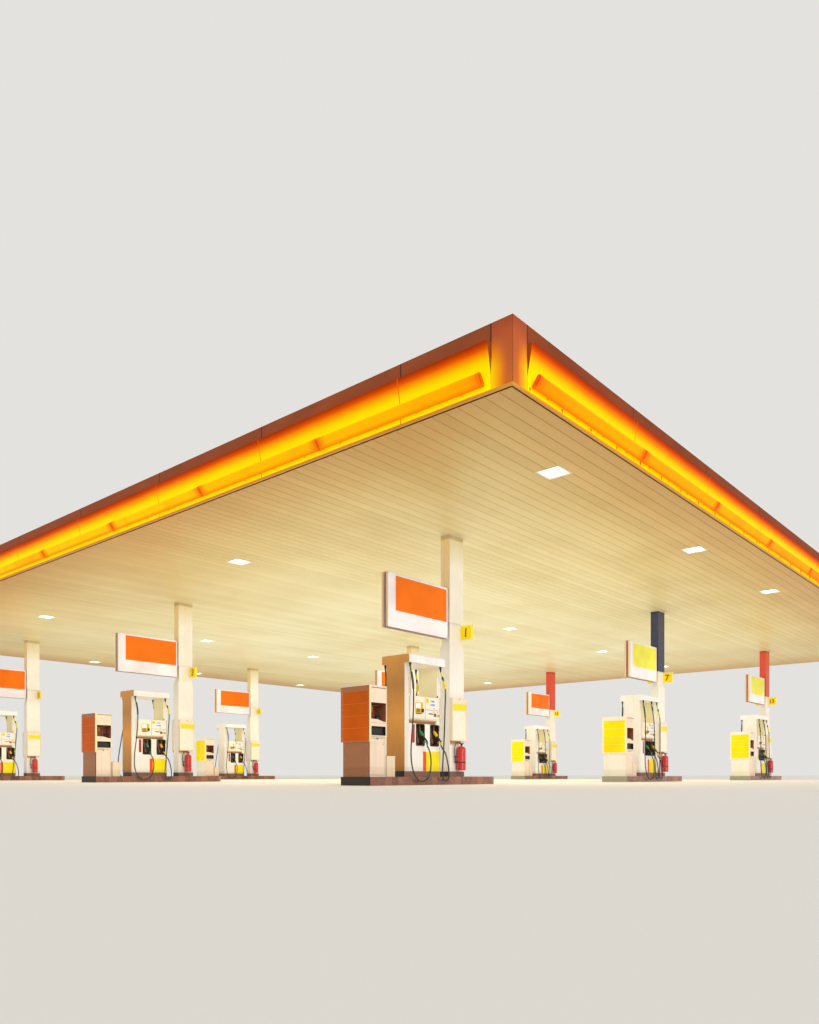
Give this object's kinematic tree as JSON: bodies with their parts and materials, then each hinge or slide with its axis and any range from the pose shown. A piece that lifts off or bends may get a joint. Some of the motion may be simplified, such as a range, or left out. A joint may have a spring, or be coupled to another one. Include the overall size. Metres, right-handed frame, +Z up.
{
  "type": "filling station canopy",
  "caption": "Flat-roofed filling station canopy with a lit orange cornice and boarded soffit, on columns rising from pump islands with dispensers, sign boxes and service units",
  "frame": {"origin": "on the ground, at the middle of the roof's plan", "axes": "+X along the pump islands away from the service units, +Y across the islands, +Z up"},
  "size_m": [31.314, 30.514, 6.336],
  "materials": {
    "painted_steel": "satin",
    "galvanised_steel": "satin",
    "roof_metal": "satin",
    "soffit_cream": "satin",
    "trim_cream": "satin",
    "lamp_glass": "polished",
    "cornice_brown": "satin",
    "cove_orange": "gloss",
    "bar_orange": "gloss",
    "column_steel": "satin",
    "column_white": "satin",
    "column_indigo": "satin",
    "column_red": "satin",
    "skirting_dark": "matte",
    "case_white": "satin",
    "extinguisher_red": "gloss",
    "black_plastic": "matte",
    "kerb_tile": "gloss",
    "concrete": "matte",
    "panel_orange": "gloss",
    "panel_yellow": "gloss",
    "dispenser_white": "satin",
    "boot_brown": "matte",
    "nozzle_green": "satin",
    "nozzle_yellow": "satin",
    "swivel_metal": "satin",
    "hose_rubber": "matte"
  },
  "bodies": {
    "root": {"main_beams": "painted_steel", "purlins": "galvanised_steel", "roof_sheets": "roof_metal", "gutters": "roof_metal", "fascia_frame": "galvanised_steel", "soffit_carriers": "galvanised_steel", "soffit_boards": "soffit_cream", "soffit_trim": "trim_cream", "lamp_housings": "galvanised_steel", "lamp_lenses": "lamp_glass", "fascia_bands": "cornice_brown", "cove_panels": "cove_orange", "light_bars": "bar_orange", "corner_posts": "cornice_brown", "columns": "column_steel", "column_casings": "column_white", "column_covers_white": "column_white", "column_cover_indigo": "column_indigo", "column_covers_red": "column_red", "column_skirtings": "skirting_dark", "poster_cases": "case_white", "extinguishers": "extinguisher_red", "extinguisher_valves": "black_plastic", "island_kerbs": "kerb_tile", "island_decks": "concrete", "sign_cases": "case_white", "sign_panels_orange": "panel_orange", "sign_panels_yellow": "panel_yellow", "sign_arms": "column_steel", "number_flags": "panel_yellow", "service_cabinets": "case_white", "service_panels_orange": "panel_orange", "service_panels_yellow": "panel_yellow", "utility_boxes": "case_white", "dispenser_plinths": "skirting_dark", "dispenser_cabinets": "dispenser_white", "dispenser_posts": "dispenser_white", "dispenser_heads": "dispenser_white", "display_modules": "dispenser_white", "nozzle_boots": "boot_brown", "nozzles_green": "nozzle_green", "nozzles_yellow": "nozzle_yellow", "nozzles_black": "black_plastic", "hose_swivels": "swivel_metal", "hoses_green": "hose_rubber", "hoses_yellow": "hose_rubber", "hoses_black": "hose_rubber"},
    "bin_door_1": {"bin_door_1": "case_white"},
    "bin_door_2": {"bin_door_2": "case_white"},
    "bin_door_3": {"bin_door_3": "case_white"},
    "bin_door_4": {"bin_door_4": "case_white"},
    "bin_door_5": {"bin_door_5": "case_white"},
    "bin_door_6": {"bin_door_6": "case_white"},
    "bin_door_7": {"bin_door_7": "case_white"},
    "bin_door_8": {"bin_door_8": "case_white"},
    "bin_door_9": {"bin_door_9": "case_white"}
  },
  "joints": [
    {"name": "bin_door_1_hinge", "type": "hinge", "parent": "root", "child": "bin_door_1", "pos_m": [-13.585, -10.636, 0.55], "axis": [0, 0, -1], "range_deg": [0, 95]},
    {"name": "bin_door_2_hinge", "type": "hinge", "parent": "root", "child": "bin_door_2", "pos_m": [-13.585, -0.336, 0.55], "axis": [0, 0, -1], "range_deg": [0, 95]},
    {"name": "bin_door_3_hinge", "type": "hinge", "parent": "root", "child": "bin_door_3", "pos_m": [-13.585, 9.964, 0.55], "axis": [0, 0, -1], "range_deg": [0, 95]},
    {"name": "bin_door_4_hinge", "type": "hinge", "parent": "root", "child": "bin_door_4", "pos_m": [-2.935, -10.636, 0.55], "axis": [0, 0, -1], "range_deg": [0, 95]},
    {"name": "bin_door_5_hinge", "type": "hinge", "parent": "root", "child": "bin_door_5", "pos_m": [-2.935, -0.336, 0.55], "axis": [0, 0, -1], "range_deg": [0, 95]},
    {"name": "bin_door_6_hinge", "type": "hinge", "parent": "root", "child": "bin_door_6", "pos_m": [-2.935, 9.964, 0.55], "axis": [0, 0, -1], "range_deg": [0, 95]},
    {"name": "bin_door_7_hinge", "type": "hinge", "parent": "root", "child": "bin_door_7", "pos_m": [7.715, -10.636, 0.55], "axis": [0, 0, -1], "range_deg": [0, 95]},
    {"name": "bin_door_8_hinge", "type": "hinge", "parent": "root", "child": "bin_door_8", "pos_m": [7.715, -0.336, 0.55], "axis": [0, 0, -1], "range_deg": [0, 95]},
    {"name": "bin_door_9_hinge", "type": "hinge", "parent": "root", "child": "bin_door_9", "pos_m": [7.715, 9.964, 0.55], "axis": [0, 0, -1], "range_deg": [0, 95]}
  ]
}
